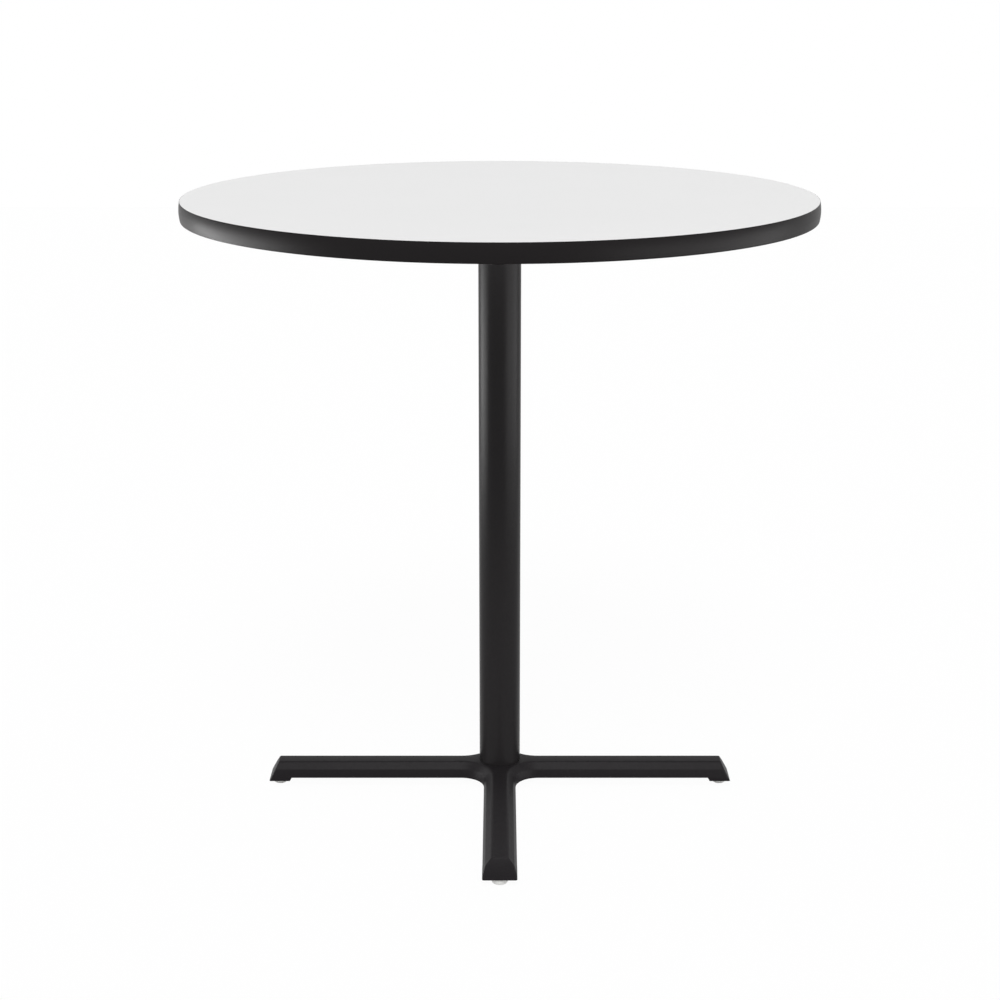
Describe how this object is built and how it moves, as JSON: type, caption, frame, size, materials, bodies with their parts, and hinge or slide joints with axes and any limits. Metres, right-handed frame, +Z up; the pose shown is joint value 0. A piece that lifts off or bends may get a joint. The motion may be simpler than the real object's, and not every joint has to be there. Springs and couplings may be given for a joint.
{
  "type": "bar table",
  "caption": "Round bar-height pedestal table: white laminate top with a black moulded rim, slim black column, cast cross base and screw-in levelling glides.",
  "frame": {"origin": "on the floor, under the centre of the column", "axes": "+Z up along the column, base arms along +X, +Y, -X and -Y, picture taken looking along +Y"},
  "size_m": [1.0667, 1.0667, 1.0668],
  "materials": {
    "white_laminate": "satin high-pressure laminate",
    "particleboard": "raw particleboard",
    "backer": "matt phenolic sheet",
    "edge_pvc": "satin black",
    "black_casting": "satin black powder coat",
    "black_tube": "satin black powder coat",
    "zinc_steel": "bright zinc plating",
    "white_nylon": "satin moulded nylon"
  },
  "bodies": {
    "table": {"top_laminate": "white_laminate", "top_core": "particleboard", "backer_sheet": "backer", "edge_moulding": "edge_pvc", "top_spider": "black_casting", "spider_screws": "zinc_steel", "column_tube": "black_tube", "tie_rod": "zinc_steel", "upper_washer": "zinc_steel", "upper_nut": "zinc_steel", "lower_washer": "zinc_steel", "lower_nut": "zinc_steel", "base_casting": "black_casting"},
    "right_glide_stud": {"glide_stud_right": "zinc_steel"},
    "right_glide_foot": {"glide_foot_right": "white_nylon"},
    "rear_glide_stud": {"glide_stud_rear": "zinc_steel"},
    "rear_glide_foot": {"glide_foot_rear": "white_nylon"},
    "left_glide_stud": {"glide_stud_left": "zinc_steel"},
    "left_glide_foot": {"glide_foot_left": "white_nylon"},
    "front_glide_stud": {"glide_stud_front": "zinc_steel"},
    "front_glide_foot": {"glide_foot_front": "white_nylon"}
  },
  "joints": [
    {"name": "right_glide_travel", "type": "slide", "parent": "table", "child": "right_glide_stud", "axis": [0, 0, -1], "range_m": [0, 0.00706]},
    {"name": "right_glide_turn", "type": "hinge", "parent": "right_glide_stud", "child": "right_glide_foot", "pos_m": [0.4, 0, 0.006], "axis": [0, 0, -1], "range_deg": [0, 1800]},
    {"name": "rear_glide_travel", "type": "slide", "parent": "table", "child": "rear_glide_stud", "axis": [0, 0, -1], "range_m": [0, 0.00706]},
    {"name": "rear_glide_turn", "type": "hinge", "parent": "rear_glide_stud", "child": "rear_glide_foot", "pos_m": [0, 0.4, 0.006], "axis": [0, 0, -1], "range_deg": [0, 1800]},
    {"name": "left_glide_travel", "type": "slide", "parent": "table", "child": "left_glide_stud", "axis": [0, 0, -1], "range_m": [0, 0.00706]},
    {"name": "left_glide_turn", "type": "hinge", "parent": "left_glide_stud", "child": "left_glide_foot", "pos_m": [-0.4, 0, 0.006], "axis": [0, 0, -1], "range_deg": [0, 1800]},
    {"name": "front_glide_travel", "type": "slide", "parent": "table", "child": "front_glide_stud", "axis": [0, 0, -1], "range_m": [0, 0.00706]},
    {"name": "front_glide_turn", "type": "hinge", "parent": "front_glide_stud", "child": "front_glide_foot", "pos_m": [0, -0.4, 0.006], "axis": [0, 0, -1], "range_deg": [0, 1800]}
  ],
  "couplings": [
    {"joint": "right_glide_travel", "follows": "right_glide_turn", "m_per_rad": 0.00022459},
    {"joint": "rear_glide_travel", "follows": "rear_glide_turn", "m_per_rad": 0.00022459},
    {"joint": "left_glide_travel", "follows": "left_glide_turn", "m_per_rad": 0.00022459},
    {"joint": "front_glide_travel", "follows": "front_glide_turn", "m_per_rad": 0.00022459}
  ]
}
